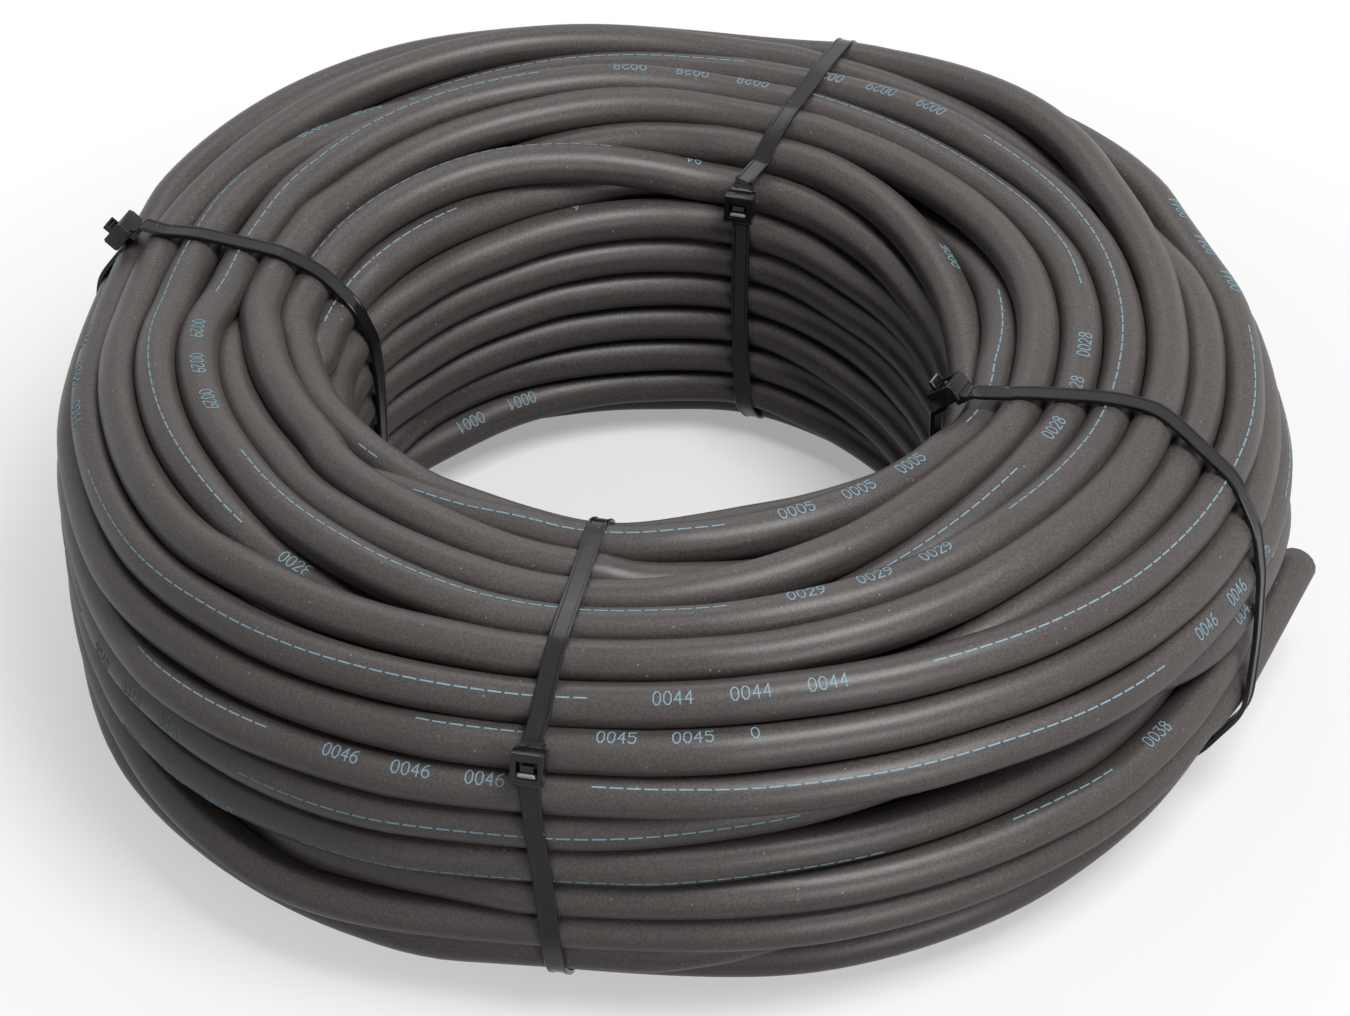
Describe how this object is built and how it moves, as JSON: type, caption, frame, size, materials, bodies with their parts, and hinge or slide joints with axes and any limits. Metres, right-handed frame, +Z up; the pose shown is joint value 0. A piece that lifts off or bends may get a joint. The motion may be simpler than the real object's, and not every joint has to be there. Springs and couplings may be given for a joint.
{
  "type": "coil of flexible power cable",
  "caption": "Hank of round rubber-sheathed three-core power cable wound into a ring and held by nylon cable ties, one cut end standing off its side.",
  "frame": {"origin": "under the middle of the whole coil, on the surface that it lies on", "axes": "+Z up along the coil's axis; the front tie stands at -Y and the cut end at +X"},
  "size_m": [0.3288, 0.323, 0.1007],
  "materials": {
    "sheath_rubber": "satin extruded rubber with a fine grain",
    "brown_insulation": "smooth satin",
    "blue_insulation": "smooth satin",
    "earth_insulation": "smooth satin, green with a yellow stripe",
    "copper": "bare stranded copper, freshly cut",
    "nylon": "glossy moulded nylon",
    "print_ink": "light blue ink-jet marking"
  },
  "bodies": {
    "coil": {"inner_turns": "sheath_rubber", "outer_turns": "sheath_rubber", "end_sheath": "sheath_rubber", "brown_core": "brown_insulation", "blue_core": "blue_insulation", "earth_core": "earth_insulation", "brown_conductor": "copper", "blue_conductor": "copper", "earth_conductor": "copper", "tie_front": "nylon", "tie_left": "nylon", "tie_back": "nylon", "tie_right": "nylon"},
    "tie_front_pawl": {"tie_front_pawl": "nylon"},
    "tie_left_pawl": {"tie_left_pawl": "nylon"},
    "tie_back_pawl": {"tie_back_pawl": "nylon"},
    "tie_right_pawl": {"tie_right_pawl": "nylon"}
  },
  "joints": [
    {"name": "tie_front_pawl_hinge", "type": "hinge", "parent": "coil", "child": "tie_front_pawl", "pos_m": [-0.03692, -0.15547, 0.07969], "axis": [-0.9781, 0.2079, 0], "range_deg": [0, 9], "stiffness_Nm_per_rad": 0.002},
    {"name": "tie_left_pawl_hinge", "type": "hinge", "parent": "coil", "child": "tie_left_pawl", "pos_m": [-0.15008, 0.05124, 0.08716], "axis": [0.3256, 0.9455, 0], "range_deg": [0, 9], "stiffness_Nm_per_rad": 0.002},
    {"name": "tie_back_pawl_hinge", "type": "hinge", "parent": "coil", "child": "tie_back_pawl", "pos_m": [0.01427, 0.07288, 0.08242], "axis": [-0.9703, 0.2419, 0], "range_deg": [0, 9], "stiffness_Nm_per_rad": 0.002},
    {"name": "tie_right_pawl_hinge", "type": "hinge", "parent": "coil", "child": "tie_right_pawl", "pos_m": [0.06572, -0.03377, 0.09545], "axis": [0.4462, 0.8949, 0], "range_deg": [0, 9], "stiffness_Nm_per_rad": 0.002}
  ]
}
